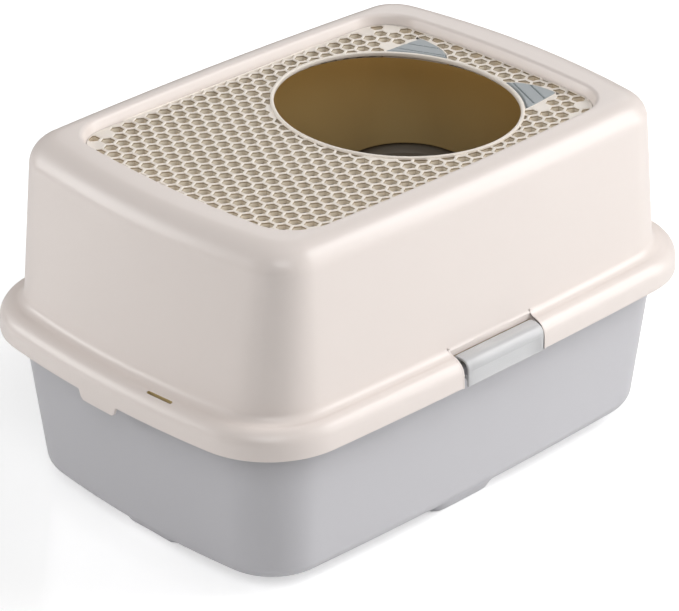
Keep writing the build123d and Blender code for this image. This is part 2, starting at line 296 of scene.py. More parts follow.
def hood_rings():
    """Closed profile of the moulding, from the skirt's outer edge up, over and back inside."""
    rings = []

    def add(size, z, bows=(SIDE_BOW, END_BOW), inside=False):
        rings.append((level(outline(*size, *bows), z), inside))

    edge = 0.7
    # skirt: rounded lower edge, face, flange rounding
    for i in range(4):
        a = pi / 2 * i / 3
        add(skirt_size(SKIRT_Z, edge * (1 - sin(a))), SKIRT_Z + edge * (1 - cos(a)))
    for z in (SKIRT_Z + 4, SKIRT_Z + 8):
        add(skirt_size(z), z)
    r = 13.0
    for i in range(15):
        a = pi / 2 * i / 14
        z = FLANGE_Z - r * (1 - sin(a))
        add(skirt_size(z, r * (1 - cos(a))), z)
    # concave foot of the wall
    r = 7.0
    for i in range(9):
        a = pi / 2 * i / 8
        z = FLANGE_Z + r * (1 - cos(a))
        add(wall_size(z, -r * (1 - sin(a))), z)
    for k in range(1, 9):
        z = lerp(FLANGE_Z + r, TOP_Z - 21, k / 9)
        add(wall_size(z), z)
    # top rounding, then the frame
    r = 21.0
    for i in range(21):
        a = pi / 2 * i / 20
        z = TOP_Z - r * (1 - sin(a))
        x, y, c = wall_size(z, r * (1 - cos(a)))
        add((x, y, max(c, 16)), z)
    # recess: rounded brow, slope, small foot, upright wall, ledge
    bows = RECESS_BOWS
    brow = 4.0              # larger than this folds into the top rounding near the corners
    slope = atan2(7.5, 3.0)
    for i in range(9):
        a = slope * i / 8
        d = brow * tan(slope / 2) - brow * sin(a)
        add((RECESS_X + d, RECESS_Y + d, RECESS_R + d), TOP_Z - brow * (1 - cos(a)), bows)
    x, y, c = RECESS_X - 3.0, RECESS_Y - 3.0, RECESS_R - 4.0
    add((x, y, c), TOP_Z - 7.5, bows)
    add((x - 0.15, y - 0.15, c), TOP_Z - 8.3, bows)
    add((x - 0.15, y - 0.15, c), LEDGE_Z, bows, True)
    add((x - 6, y - 6, c - 6), LEDGE_Z, bows, True)
    add((x - 6, y - 6, c - 6), LEDGE_Z - 2.7, bows, True)
    add((x + 2.5, y + 2.5, c + 2.5), LEDGE_Z - 2.7, bows, True)
    add((x + 4.5, y + 4.5, c + 4.5), TOP_Z - 3.6, bows, True)
    # inside of the top and the wall
    r = 18.5
    for i in range(13):
        a = pi / 2 * (1 - i / 12)
        z = TOP_Z - 2.8 - r * (1 - sin(a))
        x, y, c = wall_size(z, WALL + r * (1 - cos(a)))
        add((x, y, max(c, 12)), z, inside=True)
    for k in range(1, 8):
        z = lerp(TOP_Z - 2.8 - r, SPIGOT_Z + 0.8, k / 8)
        add(wall_size(z, WALL), z, inside=True)
    # rounded lower end of the spigot, then the underside of the flange
    mid = WALL / 2
    for i in range(7):
        a = pi * i / 6
        add(wall_size(SPIGOT_Z, mid + mid * cos(a)), SPIGOT_Z + mid - mid * sin(a), inside=True)
    add(wall_size(FLANGE_Z - 2.6), FLANGE_Z - 2.6, inside=True)
    for size, z in (((172.0, 249.0, 60.5), FLANGE_Z - 2.6), ((172.0, 249.0, 60.5), RIM_Z + 0.3),
                    ((174.5, 251.5, 63.0), RIM_Z + 0.3), ((174.5, 251.5, 63.0), FLANGE_Z - 2.6)):
        add(size, z, inside=True)
    r = 10.5
    for i in range(9):
        a = radians(74) * (1 - i / 8)
        z = FLANGE_Z - 2.6 - r * (1 - sin(a))
        add(skirt_size(z, 2.6 + r * (1 - cos(a))), z, inside=True)
    add(skirt_size(SKIRT_Z + 4, 2.6), SKIRT_Z + 4, inside=True)
    add(skirt_size(SKIRT_Z + edge, 2.6), SKIRT_Z + edge)
    add(skirt_size(SKIRT_Z, 2.6 - edge), SKIRT_Z)
    return rings


def boolean(obj, cutters, operation="DIFFERENCE"):
    for cutter in cutters:
        modifier = obj.modifiers.new("cut", "BOOLEAN")
        modifier.operation = operation
        modifier.solver = "EXACT"
        modifier.object = cutter
        bpy.context.view_layer.objects.active = obj
        with bpy.context.temp_override(object=obj, active_object=obj, selected_objects=[obj]):
            bpy.ops.object.modifier_apply(modifier=modifier.name)
        bpy.data.objects.remove(cutter, do_unlink=True)


def block(name, low, high, materials, turn=0.0, corner=0.0):
    """Closed block, with rounded upright corners if asked, turned about its middle."""
    cx, cy = (low[0] + high[0]) / 2, (low[1] + high[1]) / 2
    hx, hy = (high[0] - low[0]) / 2, (high[1] - low[1]) / 2
    if corner:
        pts = []
        for sx, sy, a in ((1, 1, 0), (-1, 1, pi / 2), (-1, -1, pi), (1, -1, 1.5 * pi)):
            pts += arc((sx * (hx - corner), sy * (hy - corner)), corner, a, a + pi / 2, 6)
    else:
        pts = [(hx, hy), (-hx, hy), (-hx, -hy), (hx, -hy)]
    c, s = cos(turn), sin(turn)
    pts = [(cx + c * x - s * y, cy + s * x + c * y) for x, y in pts]
    verts, faces = sweep([level(pts, low[2]), level(pts, high[2])], closed=False, caps=True)
    return make_object(name, verts, faces, materials)


def build_hood():
    rings = hood_rings()
    n = len(rings[0][0])
    verts, faces = sweep([r for r, _ in rings])
    # the tab hangs from the lowest part of the skirt
    out = []
    for x, y, z in verts:
        if y < 0 and z < SKIRT_Z + 8.5 and abs(y) > SKIRT_Y - 30:
            z -= tab_depth(x) * min(1.0, (SKIRT_Z + 8.5 - z) / 8.0)
        out.append((x, y, z))
    slots = []
    for k in range(len(rings)):
        nxt = rings[(k + 1) % len(rings)]
        # faces between inside rings take the darker inside cream, a painted shade
        slots += [1 if (rings[k][1] and nxt[1]) else 0] * n
    hood = make_object("hood", out, faces, [CREAM, CREAM_IN_PAINTED_SHADE], slots, smooth=35)
    cutters = []
    for side in (1, -1):
        lo, hi = sorted((side * 169.0, side * 200.0))
        cutters.append(block("notch", (lo, -NOTCH_HALF, SKIRT_Z - 5), (hi, NOTCH_HALF, FLANGE_Z + 14),
                             [CREAM]))
    cutters.append(block("slot", (44.0, -255.8, FLANGE_Z - 14), (71.0, -253.2, FLANGE_Z + 10), [CREAM_IN_PAINTED_SHADE],
                         turn=radians(3.5), corner=1.25))
    boolean(hood, cutters)
    set_smooth(hood.data, 32)
    return hood


def flange_section(grow=0.0, steps=14):
    """Outer line of the flange in X and Z at the middle of a long side, from the wall to the skirt's foot."""
    pts = [(SKIRT_X - 18.0 + 0.8, FLANGE_Z + 6.0 + grow)]
    r = 7.0
    for i in range(1, 7):
        a = pi / 2 * (1 - i / 6)
        z = FLANGE_Z + r * (1 - cos(a))
        pts.append((SKIRT_X - 18.0 + r * (1 - sin(a)), z + grow))
    r = 13.0
    for i in range(steps + 1):
        a = pi / 2 * (1 - i / steps)
        z = FLANGE_Z - r * (1 - sin(a))
        pts.append((SKIRT_X - 0.8 * (z - SKIRT_Z) / 24 - r * (1 - cos(a)) + grow * cos(a), z + grow * sin(a)))
    pts.append((SKIRT_X + grow, SKIRT_Z))
    return pts


def build_notch_webs():
    """Webs that close both ends of each notch, with a fine rounded rim standing just proud of the flange."""
    verts, faces = [], []
    for side in (1, -1):
        for end in (1, -1):
            inner = list(reversed(flange_section(-1.6)))
            rings = []
            # (distance behind the notch's end, how far the rim is pulled in there)
            for dy, pull in [(0.0, 0.35), (0.12, 0.12), (0.35, 0.0), (1.5, 0.0), (1.75, 0.3)]:
                sec = flange_section(0.12 - pull) + inner
                y = end * (NOTCH_HALF + dy)
                rings.append([(side * (x - side_sag(y)), y, z) for x, z in sec])
            add_mesh(verts, faces, sweep(rings, closed=False, caps=True))
            # plate behind the rim that carries the pin
            plate = [(169.2, 157.2), (169.2, FLANGE_Z - 1.0), (SKIRT_X - 12, FLANGE_Z - 1.0),
                     (SKIRT_X - 5, FLANGE_Z - 4.5), (SKIRT_X - 2.2, FLANGE_Z - 9.5), (SKIRT_X - 2.2, 157.2)]
            rings = [[(side * x, end * (NOTCH_HALF + dy), z) for x, z in plate] for dy in (0.45, 2.5)]
            add_mesh(verts, faces, sweep(rings, closed=False, caps=True))
    return make_object("notch_webs", verts, faces, [CREAM], smooth=35)


def side_sag(y):
    return SIDE_BOW * (y / SKIRT_Y) ** 2


# ------------------------------------------------------------ pan
def pan_size(z, inset=0.0):
    t = (PAN_SHOULDER_Z - z) / (PAN_SHOULDER_Z - PAN_FLOOR_Z)
    return (PAN_TOP_X - PAN_DRAFT * t - inset, PAN_TOP_Y - PAN_DRAFT * t - inset, 58.0 - 6 * t - inset)


def foot_drop(x, y):
    """Depth of the four rounded feet moulded down from the floor."""
    best = 0.0
    for fx, fy, lx, ly in ((0, -203, 42, 20), (0, 203, 42, 20), (127, 0, 20, 42), (-127, 0, 20, 42)):
        long, deep = max(lx, ly), min(lx, ly)
        u, v = (x - fx, y - fy) if lx > ly else (y - fy, x - fx)
        straight = long - deep
        d = hypot(max(abs(u) - straight, 0.0), v) / deep
        best = max(best, smoothstep((1.08 - d) / 0.42))
    return PAN_FLOOR_Z * best


def build_pan():
    bows = (SIDE_BOW, 12.0)
    rings, inside = [], []

    def add(size, z, inner=False, bows=bows):
        rings.append(level(outline(*size, *bows), z))
        inside.append(inner)

    # floor underside from the middle out, then the rounded edge
    r = 14.0
    x0, y0, c0 = pan_size(PAN_FLOOR_Z, r)
    steps = 34
    for k in range(steps):
        t = 1 - (k + 0.6) / (steps + 0.6)
        floor = [(px * (1 - t), py * (1 - t)) for px, py in outline(x0, y0, c0, *bows)]
        rings.append(level(floor, PAN_FLOOR_Z))
        inside.append(False)
    for i in range(13):
        a = pi / 2 * i / 12
        z = PAN_FLOOR_Z + r * (1 - cos(a))
        add(pan_size(z, r * (1 - sin(a))), z)
    for k in range(1, 8):
        z = lerp(PAN_FLOOR_Z + r, PAN_SHOULDER_Z, k / 7)
        add(pan_size(z), z)
    full = (SIDE_BOW, END_BOW)
    for size, z in (((172.4, 249.4, 60.4), PAN_SHOULDER_Z), ((173.0, 250.0, 61.0), PAN_SHOULDER_Z + 0.6),
                    ((173.0, 250.0, 61.0), RIM_Z - 2.6), ((179.1, 257.6, 67.8), RIM_Z - 2.6),
                    ((179.1, 257.6, 67.8), RIM_Z - 6.5), ((181.3, 259.8, 70.0), RIM_Z - 6.5)):
        add(size, z, bows=full)
    for i in range(6):
        a = pi / 2 * i / 5
        d = 1.2 * (1 - cos(a))
        add((181.3 - d, 259.8 - d, 70.0 - d), RIM_Z - 1.2 * (1 - sin(a)), bows=full)
    for i in range(6):
        a = pi / 2 * (1 - i / 5)
        d = 1.0 * (1 - cos(a))
        add((171.5 - d, 248.5 - d, 59.5 - d), RIM_Z - 1 + sin(a), inner=True, bows=full)
    add((170.5, 247.5, 58.5), PAN_SHOULDER_Z + 3.2, True, full)
    add((170.0, 247.0, 58.0), PAN_SHOULDER_Z + 2.6, True, full)
    for k in range(7):
        z = lerp(PAN_SHOULDER_Z + 2.0, PAN_FLOOR_Z + 3 + 11.2, k / 6)
        add(pan_size(z, PAN_WALL), z, True)
    r = 11.2
    for i in range(1, 10):
        a = pi / 2 * (1 - i / 9)
        z = PAN_FLOOR_Z + 3 + r * (1 - cos(a))
        add(pan_size(z, PAN_WALL + r * (1 - sin(a))), z, True)
    x1, y1, c1 = pan_size(PAN_FLOOR_Z + 3, PAN_WALL + r)
    for k in range(1, 24):
        t = k / 24
        floor = [(px * (1 - t), py * (1 - t)) for px, py in outline(x1, y1, c1, *bows)]
        rings.append(level(floor, PAN_FLOOR_Z + 3))
        inside.append(True)
    verts, faces = sweep(rings, closed=False, caps=True)
    n = len(rings[0])
    out = []
    for i, (x, y, z) in enumerate(verts):
        ring = i // n
        if z < PAN_FLOOR_Z + 9 and not inside[ring]:
            z -= foot_drop(x, y) * max(0.0, 1 - (z - PAN_FLOOR_Z) / 9)
        out.append((x, y, z))
    # faces between inside rings take the dark inside grey, a painted shade
    slots = []
    for k in range(len(rings) - 1):
        slots += [1 if (inside[k] and inside[k + 1]) else 0] * n
    slots += [0, 1]
    return make_object("pan_tub", out, faces, [GREY, GREY_IN_PAINTED_SHADE], slots, smooth=35)


# ------------------------------------------------------------ honeycomb top
def dish(x, y):
    """Height of the top's surface: lowest in the middle, rising to its edges."""
    span = grille_high[2] - 0.2
    return span - 3.9 + 1.9 * (x / GRILLE_X) ** 2 + 2.0 * (y / GRILLE_Y) ** 2


def cut_cell(cell, px, py, nx, ny):
    """Keeps the part of a cell behind the line through (px, py) with this normal.

    A cell's corner is (x, y, whether the side after it is a cut).
    """
    out = []
    for i, a in enumerate(cell):
        b = cell[(i + 1) % len(cell)]
        da = (a[0] - px) * nx + (a[1] - py) * ny
        db = (b[0] - px) * nx + (b[1] - py) * ny
        if da <= 0:
            out.append(a)
        if (da < 0 < db) or (db < 0 < da):
            t = da / (da - db)
            out.append((a[0] + (b[0] - a[0]) * t, a[1] + (b[1] - a[1]) * t, True if da < 0 else a[2]))
        elif da == 0 and db > 0:
            out[-1] = (a[0], a[1], True)
    return out


def poly_area(poly):
    return 0.5 * sum(a[0] * b[1] - b[0] * a[1] for a, b in zip(poly, poly[1:] + poly[:1]))


def inset_cell(cell, d, cut_d):
    """Cell moved in by d, or by cut_d along its cut sides. None if nothing is left."""
    n = len(cell)
    lines = []
    for i, (x, y, cut) in enumerate(cell):
        bx, by, _ = cell[(i + 1) % n]
        l = hypot(bx - x, by - y)
        nx, ny = -(by - y) / l, (bx - x) / l
        lines.append((nx, ny, nx * x + ny * y + (cut_d if cut else d)))
    out = []
    for i in range(n):
        (a1, b1, c1), (a2, b2, c2) = lines[i - 1], lines[i]
        det = a1 * b2 - a2 * b1
        if abs(det) < 0.05:
            out.append((cell[i][0] + a2 * (c2 - a2 * cell[i][0] - b2 * cell[i][1]),
                        cell[i][1] + b2 * (c2 - a2 * cell[i][0] - b2 * cell[i][1])))
        else:
            out.append(((c1 * b2 - c2 * b1) / det, (a1 * c2 - a2 * c1) / det))
    if poly_area(out) < 2.0:
        return None
    for i in range(n):
        j = (i + 1) % n
        if ((cell[j][0] - cell[i][0]) * (out[j][0] - out[i][0])
                + (cell[j][1] - cell[i][1]) * (out[j][1] - out[i][1])) < 0:
            return None
    return out


def tidy_cell(cell, least=0.7):
    """Drops corners that are closer together than least."""
    out = []
    for p in cell:
        if out and hypot(p[0] - out[-1][0], p[1] - out[-1][1]) <= least:
            out[-1] = (out[-1][0], out[-1][1], p[2])
        else:
            out.append(p)
    while len(out) > 2 and hypot(out[0][0] - out[-1][0], out[0][1] - out[-1][1]) <= least:
        out.pop()
    return out


def ear_outline(side, grow=0.0, steps=14):
    """Ear in plan: base along the collar, full inner side, nearly straight outer side. side is 1 or -1."""
    def curve(p, q, r):
        """Points from p to r, bending through q."""
        ctrl = q * 2 - (p + r) / 2
        parts = [i / steps for i in range(steps + 1)]
        return [p * (1 - t) ** 2 + ctrl * 2 * t * (1 - t) + r * t * t for t in parts]

    def on_base(p):
        dx, dy = p.x, p.y - ENTRY_Y0
        k = sqrt((dx / (ENTRY_A + EAR_GAP)) ** 2 + (dy / (ENTRY_B + EAR_GAP)) ** 2)
        return Vector((dx / k, ENTRY_Y0 + dy / k))

    inner_end, outer_end = on_base(Vector((32.0, 150.5))), on_base(Vector((80.0, 128.5)))
    tip = Vector((78.8, 171.2))
    left = curve(inner_end, Vector((51.8, 168.2)), tip)
    right = curve(tip, Vector((81.2, 150.0)), outer_end)
    tip_r = 3.0
    left = [p for p in left if (p - tip).length > tip_r]
    right = [p for p in right if (p - tip).length > tip_r]
    corner = curve(left[-1], (left[-1] + right[0]) / 4 + tip / 2, right[0])[2:-2:2]
    base = [on_base(outer_end.lerp(inner_end, i / 16)) for i in range(1, 16)]
    pts = [(p.x, p.y) for p in left + corner + right + base]
    if poly_area(pts) < 0:
        pts.reverse()
    if grow:
        pts = offset_loop(pts, -grow)
    if side < 0:
        pts = [(-x, y) for x, y in reversed(pts)]
    return pts


def offset_loop(pts, d):
    """Closed smooth loop moved in by d (out if d is negative)."""
    out = []
    n = len(pts)
    for i in range(n):
        p0, p2 = pts[i - 1], pts[(i + 1) % n]
        t = Vector((p2[0] - p0[0], p2[1] - p0[1])).normalized()
        out.append((pts[i][0] - t.y * d, pts[i][1] + t.x * d))
    return out


def inside_loop(p, loop):
    hit = False
    n = len(loop)
    for i in range(n):
        (x1, y1), (x2, y2) = loop[i], loop[(i + 1) % n]
        if (y1 > p[1]) != (y2 > p[1]) and p[0] < (x2 - x1) * (p[1] - y1) / (y2 - y1) + x1:
            hit = not hit
    return hit


def nearest_on_loop(p, loop):
    """Distance to the loop's nearest side, the point on it and the side's direction."""
    best = None
    n = len(loop)
    for i in range(n):
        a, b = loop[i], loop[(i + 1) % n]
        ex, ey = b[0] - a[0], b[1] - a[1]
        l2 = ex * ex + ey * ey
        if l2 < 1e-9:
            continue
        t = min(max(((p[0] - a[0]) * ex + (p[1] - a[1]) * ey) / l2, 0), 1)
        qx, qy = a[0] + ex * t, a[1] + ey * t
        d = hypot(p[0] - qx, p[1] - qy)
        if best is None or d < best[0]:
            best = (d, qx, qy, ex / sqrt(l2), ey / sqrt(l2))
    return best


def trim_to_frame(cell, loop):
    """Cuts a cell back to the inside of the frame's loop."""
    for _ in range(2):
        outside = [p for p in cell if not inside_loop(p, loop)]
        if not outside or len(cell) < 3:
            break
        far = max(outside, key=lambda p: nearest_on_loop(p, loop)[0])
        _, qx, qy, ex, ey = nearest_on_loop(far, loop)
        cell = cut_cell(cell, qx, qy, ey, -ex)
    return cell


def trim_to_collar(cell, a, b):
    """Cuts a cell back to the outside of the collar's oval."""
    deep = [p for p in cell if (p[0] / a) ** 2 + ((p[1] - ENTRY_Y0) / b) ** 2 < 1]
    if not deep:
        return cell
    mx = sum(p[0] for p in deep) / len(deep)
    my = sum(p[1] for p in deep) / len(deep) - ENTRY_Y0
    k = 1 / sqrt((mx / a) ** 2 + (my / b) ** 2)
    qx, qy = mx * k, my * k
    gx, gy = qx / a ** 2, qy / b ** 2
    g = hypot(gx, gy)
    return cut_cell(cell, qx, qy + ENTRY_Y0, -gx / g, -gy / g)


def trim_to_ear(cell, loop):
    """Cuts a cell back to the outside of an ear."""
    inside = [p for p in cell if inside_loop(p, loop)]
    if len(inside) == len(cell):
        return []
    if not inside:
        return cell
    mid = (sum(p[0] for p in inside) / len(inside), sum(p[1] for p in inside) / len(inside))
    _, qx, qy, ex, ey = nearest_on_loop(mid, loop)
    return cut_cell(cell, qx, qy, -ey, ex)


def build_grille():
    """Honeycomb: six-sided mouths with crowned ribs that narrow down to three-sided holes."""
    frame_loop = outline(GRILLE_X - 0.3, GRILLE_Y - 0.3, RECESS_R - 4.3, *RECESS_BOWS)
    ears = [ear_outline(side, 0.9) for side in (1, -1)]
    column = CELL * sqrt(3) / 2
    hex_r = CELL / sqrt(3)
    thick = 4.6
    # (inset from the cell's edge, drop): crowned rib and rounded brow
    crown = [(0.0, 0.0), (RIB * 0.22, 0.04), (RIB * 0.36, 0.17), (RIB * 0.46, 0.45), (RIB * 0.52, 0.85)]
    verts, faces = [], []
    shared, slot_of = {}, {}

    def vertex(x, y, z, share=False):
        key = (round(x, 2), round(y, 2), round(z, 2))
        if share and key in shared:
            return shared[key]
        verts.append((x, y, z))
        if share:
            shared[key] = len(verts) - 1
        return len(verts) - 1

    def ring(points, drop, share=False):
        return [vertex(p[0], p[1], dish(p[0], p[1]) - drop, share) for p in points]

    def wall(a, b, slot=0):
        m = len(a)
        for k in range(m):
            q = (k + 1) % m
            slot_of[len(faces)] = slot
            faces.append((a[k], a[q], b[q], b[k]))

    for i in range(-13, 14):
        for j in range(-17, 18):
            cx = i * column
            cy = (j + 0.5 * (i % 2)) * CELL
            cell = [(cx + hex_r * cos(pi / 3 * k), cy + hex_r * sin(pi / 3 * k), False) for k in range(6)]
            if not any(inside_loop(p, frame_loop) for p in cell):
                continue
            cell = trim_to_frame(cell, frame_loop)
            if len(cell) > 2:
                cell = trim_to_collar(cell, ENTRY_A + COLLAR_T - 0.4, ENTRY_B + COLLAR_T - 0.4)
            for loop in ears:
                if len(cell) > 2:
                    cell = trim_to_ear(cell, loop)
            if len(cell) < 3:
                continue
            cell = tidy_cell(cell)
            if len(cell) < 3 or poly_area(cell) < 4:
                continue
            whole = len(cell) == 6 and not any(p[2] for p in cell)
            rings = [inset_cell(cell, d, min(d, 0.35)) if d else cell for d, _ in crown]
            if whole:
                floor_r = [5.5 if k % 2 == 0 else 3.6 for k in range(6)]
                hole = [(cx + r * cos(pi / 3 * k), cy + r * sin(pi / 3 * k)) for k, r in enumerate(floor_r)]
            else:
                hole = inset_cell(cell, RIB * 0.5 + 1.0, 0.5)
            if any(r is None for r in rings) or hole is None:
                # no room for a hole: a web just under the ribs
                top = [ring(r, drop, k == 0) for k, (r, (_, drop)) in enumerate(zip(rings[:3], crown)) if r]
                for a, b in zip(top, top[1:]):
                    wall(a, b)
                faces.append(tuple(top[-1]))
                faces.append(tuple(reversed(ring(cell, thick, True))))
                continue
            loops = [ring(r, drop, k == 0) for k, (r, (_, drop)) in enumerate(zip(rings, crown))]
            upright = inset_cell(cell, RIB * 0.56, 0.4)
            if upright:
                loops.append(ring(upright, 1.8))
            loops += [ring(hole, thick - 0.3), ring(hole, thick), ring(cell, thick, True)]
            for k, (a, b) in enumerate(zip(loops, loops[1:])):
                # upper cell walls take the dark wall cream, lower walls and floors the darker floor cream:
                # painted shade in the cells
                wall(a, b, (k >= 4) + (k >= 5))

    def bead(loop, half, up, down):
        """Rounded upright band along a closed loop."""
        section = [(half * cos(pi * k / 8), up * sin(pi * k / 8)) for k in range(9)]
        section += [(-half, -down), (half, -down)]
        rings = [[(x, y, dish(x, y) + dz - 0.1) for x, y in offset_loop(loop, off)] for off, dz in section]
        add_mesh(verts, faces, sweep(rings))

    for side in (1, -1):
        bead(ear_outline(side, 0.6), 0.5, 0.3, thick)
        # a straight thin bead along each long edge, sinking away towards the far end
        x = side * (GRILLE_X - 1.3)
        section = [(0.7 * cos(pi * k / 8), 0.5 * sin(pi * k / 8)) for k in range(9)]
        section += [(-0.7, -thick), (0.7, -thick)]
        rings = []
        for k in range(61):
            y = lerp(-GRILLE_Y + 26, GRILLE_Y - 26, k / 60)
            sink = 2.2 * smoothstep((y - 70) / 85)
            rings.append([(x + dx, y, dish(x, y) + max(dz - sink, -thick)) for dx, dz in section])
        add_mesh(verts, faces, sweep(rings, closed=False, caps=True))
    slots = [slot_of.get(i, 0) for i in range(len(faces))]
    return make_object("honeycomb", verts, faces, [TOP_CREAM, CELL_WALL_PAINTED_SHADE, CELL_FLOOR_PAINTED_SHADE], slots, smooth=38)


def build_entry_rim():
    """Oval collar that follows the dished surface: rolled top edge and a short wall."""
    half = COLLAR_T / 2
    section = [(half + half * cos(pi * k / 12), 0.55 + 0.95 * sin(pi * k / 12)) for k in range(13)]
    section += [(0.0, -0.6), (0.05, -1.9), (0.35, -2.3), (1.7, -2.3), (2.1, -1.9), (2.2, -0.6),
                (COLLAR_T, -0.4)]
    rings = []
    n = 260
    for off, dz in section:
        ring = []
        for k in range(n):
            a = 2 * pi * k / n
            x, y = (ENTRY_A + off) * cos(a), (ENTRY_B + off) * sin(a) + ENTRY_Y0
            ring.append((x, y, dish(x, y) + dz))
        rings.append(ring)
    verts, faces = sweep(rings)
    return make_object("entry_collar", verts, faces, [TOP_CREAM], smooth=40)


def ear_groove(side):
    """Depth below an ear's face: two grooves parallel to its base, and a step along the collar."""
    a, b = Vector((side * 31.5, 149.5)), Vector((side * 80.5, 127.5))
    d = (b - a).normalized()
    up = Vector((-d.y, d.x)) * side
    mid = (a + b) / 2

    def depth(x, y):
        h = (Vector((x, y)) - mid).dot(up)
        cut = max(1 - smoothstep((abs(h - at) - 0.35) / 0.35) for at in (13.6, 25.2))
        base = (hypot(x / (ENTRY_A + EAR_GAP), (y - ENTRY_Y0) / (ENTRY_B + EAR_GAP)) - 1) * 104
        return 1.5 * max(cut, 1 - smoothstep((base - 0.9) / 0.8))

    return depth


def build_ear(side):
    """Ear insert: plate with a soft edge and grooves parallel to its base."""
    loop, groove, top_level = ear_outline(side, -0.1), ear_groove(side), 0.6
    inner = offset_loop(loop, 0.7)
    verts, faces = [], []
    n = len(loop)
    for inset, dz in ((0.0, -3.2), (0.0, top_level - 0.7), (0.2, top_level - 0.25), (0.7, top_level)):
        for x, y in offset_loop(loop, inset):
            verts.append((x, y, dish(x, y) + dz - (groove(x, y) if inset > 0.1 else 0.0)))
    for k in range(3):
        for i in range(n):
            j = (i + 1) % n
            faces.append((k * n + i, k * n + j, (k + 1) * n + j, (k + 1) * n + i))
    faces.append(tuple(reversed(range(n))))
    # fine inner grid joined to the rim by a constrained triangulation
    xs = [p[0] for p in inner]
    ys = [p[1] for p in inner]
    pts = [Vector(p) for p in inner]
    step = 0.55
    y = min(ys)
    while y < max(ys):
        x = min(xs)
        while x < max(xs):
            if inside_loop((x, y), offset_loop(inner, 0.35)):
                pts.append(Vector((x, y)))
            x += step
        y += step
    edges = [(i, (i + 1) % n) for i in range(n)]
    out_v, _, out_f, *_ = delaunay_2d_cdt(pts, edges, [], 1, 1e-4)
    base = len(verts)
    for i, p in enumerate(out_v):
        verts.append((p.x, p.y, dish(p.x, p.y) + top_level - groove(p.x, p.y)))
    faces += [tuple(base + i for i in f) for f in out_f]
    name = "ear_insert_" + ("right" if side > 0 else "left")
    obj = make_object(name, verts, faces, [EAR_GREY], smooth=50)
    bm = bmesh.new()
    bm.from_mesh(obj.data)
    bmesh.ops.remove_doubles(bm, verts=bm.verts, dist=0.00002)
    bmesh.ops.recalc_face_normals(bm, faces=bm.faces)
    bm.to_mesh(obj.data)
    bm.free()
    set_smooth(obj.data, 50)
    return obj


# ------------------------------------------------------------ clips
def build_clip(side):
    """Clip: plate, rounded shoulder, ribbed face and hook, with soft ends."""
    top = clip_high[2]
    face_x = clip_high[0]
    low = clip_low[2]
    barrel = top - PIVOT_Z
    bend, t = 9.0, 2.4
    flat = face_x - bend

    def section(pull):
        pts = []
        for k in range(9):            # round back of the barrel
            a = -pi / 2 - pi * k / 8
            pts.append((PIVOT_X + (barrel - pull) * cos(a), PIVOT_Z + (barrel - pull) * sin(a)))
        for k in range(1, 5):
            pts.append((lerp(PIVOT_X, flat, k / 5), top - pull))
        for k in range(13):
            a = pi / 2 * (1 - k / 12)
            pts.append((flat + (bend - pull) * cos(a), top - bend + (bend - pull) * sin(a)))
        # ribs on the face
        z0, z1 = top - bend - 0.6, low + 1.2
        count = 12
        for k in range(count):
            za = lerp(z0, z1, k / count)
            zb = lerp(z0, z1, (k + 1) / count)
            depth = 0.22 if pull < 0.05 else 0.0
            for f, q in ((0.1, 0.0), (0.3, 1.0), (0.55, 1.0), (0.75, 0.0)):
                pts.append((face_x - pull - depth * q, lerp(za, zb, f)))
        # lower edge, then the hook on the inside
        back = face_x - t + pull
        pts += [(face_x - pull, low + 0.6), (face_x - pull - 0.5, low + pull * 0.5),
                (back + 0.4, low + pull * 0.5), (back, low + 0.6), (back, low + 5.5), (back - 3.0, low + 7.0),
                (back - 3.0, low + 8.0), (back, low + 10.5)]
        for k in range(7):
            a = pi / 2 * k / 6
            pts.append((flat + (bend - t + pull) * cos(a), top - bend + (bend - t + pull) * sin(a)))
        pts.append((PIVOT_X + 2.0, top - t + pull))
        pts.append((PIVOT_X + 1.9, PIVOT_Z - 2.2))
        return pts

    half = CLIP_HALF
    # (position along the clip, how far the section is pulled in there)
    ends = [(half, 0.6), (half - 0.15, 0.25), (half - 0.55, 0.06), (half - 1.1, 0.051), (half - 4.0, 0.051),
            (half - 4.3, 0.0), (half / 2, 0.0)]
    stations = [(-y, pull) for y, pull in ends] + [(0.0, 0.0)] + ends[::-1]
    rings = [[(side * x, y, z) for x, z in section(pull)] for y, pull in stations]
    verts, faces = sweep(rings, closed=False, caps=True)
    name = "side_clip_" + ("right" if side > 0 else "left")
    return make_object(name, verts, faces, [CLIP_GREY], smooth=35)


# ------------------------------------------------------------ assemble
hood = build_hood()
webs = build_notch_webs()
for piece in (hood, webs):
    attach(piece, "hood")
    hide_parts("hood_shell")

tub = build_pan()
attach(tub, "pan")
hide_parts("pan")

grille = build_grille()
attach(grille, "hood")
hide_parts("top_grille")

collar = build_entry_rim()
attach(collar, "hood")
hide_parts("entry_rim")

for side, word in ((1, "right"), (-1, "left")):
    ear = build_ear(side)
    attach(ear, "hood")
    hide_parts("ear_" + word)
    clip = build_clip(side)
    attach(clip, "clip_" + word)
    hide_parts("clip_" + word)
    pin = nodes["clip_pin_" + word]
    pin.data.materials.clear()
    pin.data.materials.append(PIN_GREY)


